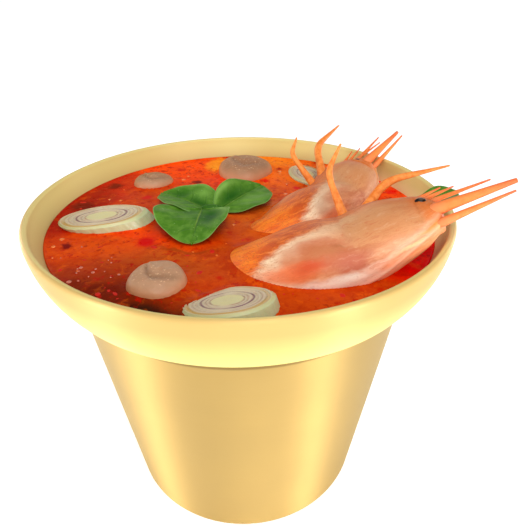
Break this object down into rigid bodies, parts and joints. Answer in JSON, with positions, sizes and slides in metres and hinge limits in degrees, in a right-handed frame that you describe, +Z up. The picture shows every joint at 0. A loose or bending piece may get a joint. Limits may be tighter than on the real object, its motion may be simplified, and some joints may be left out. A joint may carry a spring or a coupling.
{
  "type": "tom yum soup",
  "caption": "Hot and sour red soup in a gold pot-shaped bowl, with whole prawns, straw mushrooms, lemongrass slices and basil",
  "frame": {"origin": "centre of the bowl's flat base, on the surface it rests on", "axes": "+Z up; -Y towards the eater; +X to the eater's right, where the prawns' heads point over the rim"},
  "size_m": [0.1681, 0.16, 0.1552],
  "materials": {
    "gold_bowl": "satin, gold-anodised spun metal",
    "broth": "wet, oily surface",
    "mushroom": "wet, smooth flesh",
    "lemongrass": "damp, fibrous cut face",
    "basil": "satin leaf",
    "prawn_shell": "wet, glossy shell"
  },
  "bodies": {
    "root": {"bowl": "gold_bowl", "soup": "broth", "mushroom_back": "mushroom", "mushroom_left": "mushroom", "mushroom_near": "mushroom", "lemongrass_left": "lemongrass", "lemongrass_near": "lemongrass", "lemongrass_far": "lemongrass", "basil_sprig": "basil", "basil_leaf": "basil", "prawn_front": "prawn_shell", "prawn_back": "prawn_shell"}
  },
  "joints": []
}
